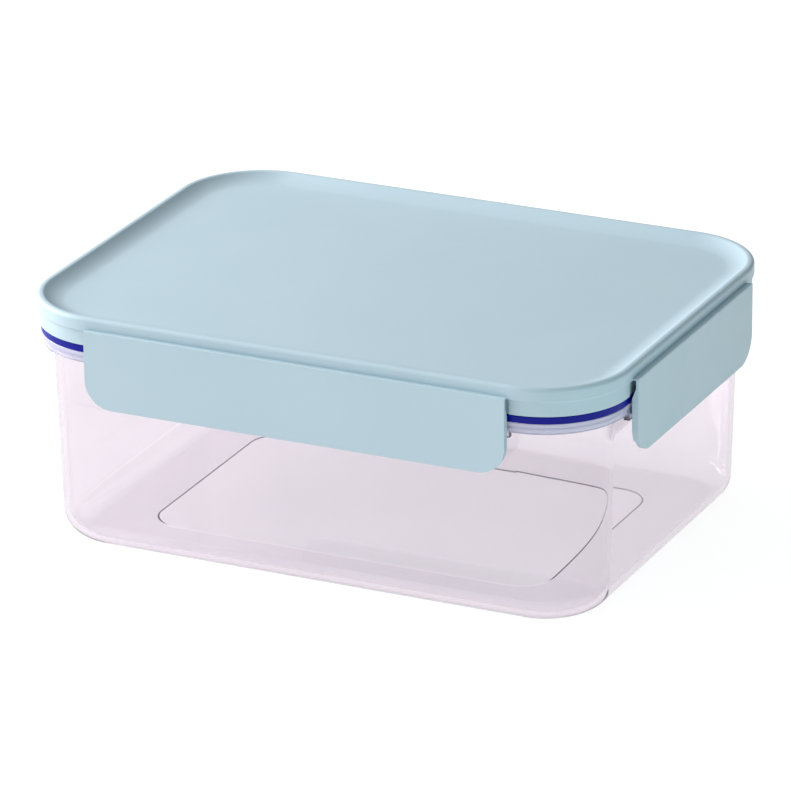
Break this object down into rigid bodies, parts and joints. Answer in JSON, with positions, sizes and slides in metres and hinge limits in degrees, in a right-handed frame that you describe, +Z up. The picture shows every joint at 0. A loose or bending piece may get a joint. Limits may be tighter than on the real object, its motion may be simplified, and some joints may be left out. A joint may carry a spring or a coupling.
{
  "type": "snap lid food container",
  "caption": "Rectangular clear food storage container with a pale blue dished lid, a navy sealing gasket and a hinged snap-down clip along every side.",
  "frame": {"origin": "centre of the base, on the plane it stands on", "axes": "+X along the container's length, +Y to the rear long side, +Z up through the lid"},
  "size_m": [0.2244, 0.1694, 0.089],
  "materials": {
    "clear_plastic": "clear, polished, with a faint violet tint",
    "pale_blue_plastic": "opaque, satin moulded surface",
    "gasket_rubber": "smooth navy silicone"
  },
  "bodies": {
    "container": {"container_body": "clear_plastic"},
    "lid": {"lid_shell": "pale_blue_plastic", "gasket": "gasket_rubber", "hinge_web_front": "pale_blue_plastic", "hinge_web_right": "pale_blue_plastic", "hinge_web_rear": "pale_blue_plastic", "hinge_web_left": "pale_blue_plastic"},
    "clip_front": {"clip_front": "pale_blue_plastic", "snap_bead_front": "pale_blue_plastic"},
    "clip_right": {"clip_right": "pale_blue_plastic", "snap_bead_right": "pale_blue_plastic"},
    "clip_rear": {"clip_rear": "pale_blue_plastic", "snap_bead_rear": "pale_blue_plastic"},
    "clip_left": {"clip_left": "pale_blue_plastic", "snap_bead_left": "pale_blue_plastic"}
  },
  "joints": [
    {"name": "lid_lift", "type": "slide", "parent": "container", "child": "lid", "axis": [0, 0, 1], "range_m": [0, 0.06]},
    {"name": "clip_front_hinge", "type": "hinge", "parent": "lid", "child": "clip_front", "pos_m": [0, -0.08425, 0.08465], "axis": [-1, 0, 0], "range_deg": [0, 120], "deforming": ["snap_bead_front"]},
    {"name": "clip_right_hinge", "type": "hinge", "parent": "lid", "child": "clip_right", "pos_m": [0.11175, 0, 0.08465], "axis": [0, -1, 0], "range_deg": [0, 120], "deforming": ["snap_bead_right"]},
    {"name": "clip_rear_hinge", "type": "hinge", "parent": "lid", "child": "clip_rear", "pos_m": [0, 0.08425, 0.08465], "axis": [1, 0, 0], "range_deg": [0, 120], "deforming": ["snap_bead_rear"]},
    {"name": "clip_left_hinge", "type": "hinge", "parent": "lid", "child": "clip_left", "pos_m": [-0.11175, 0, 0.08465], "axis": [0, 1, 0], "range_deg": [0, 120], "deforming": ["snap_bead_left"]}
  ]
}
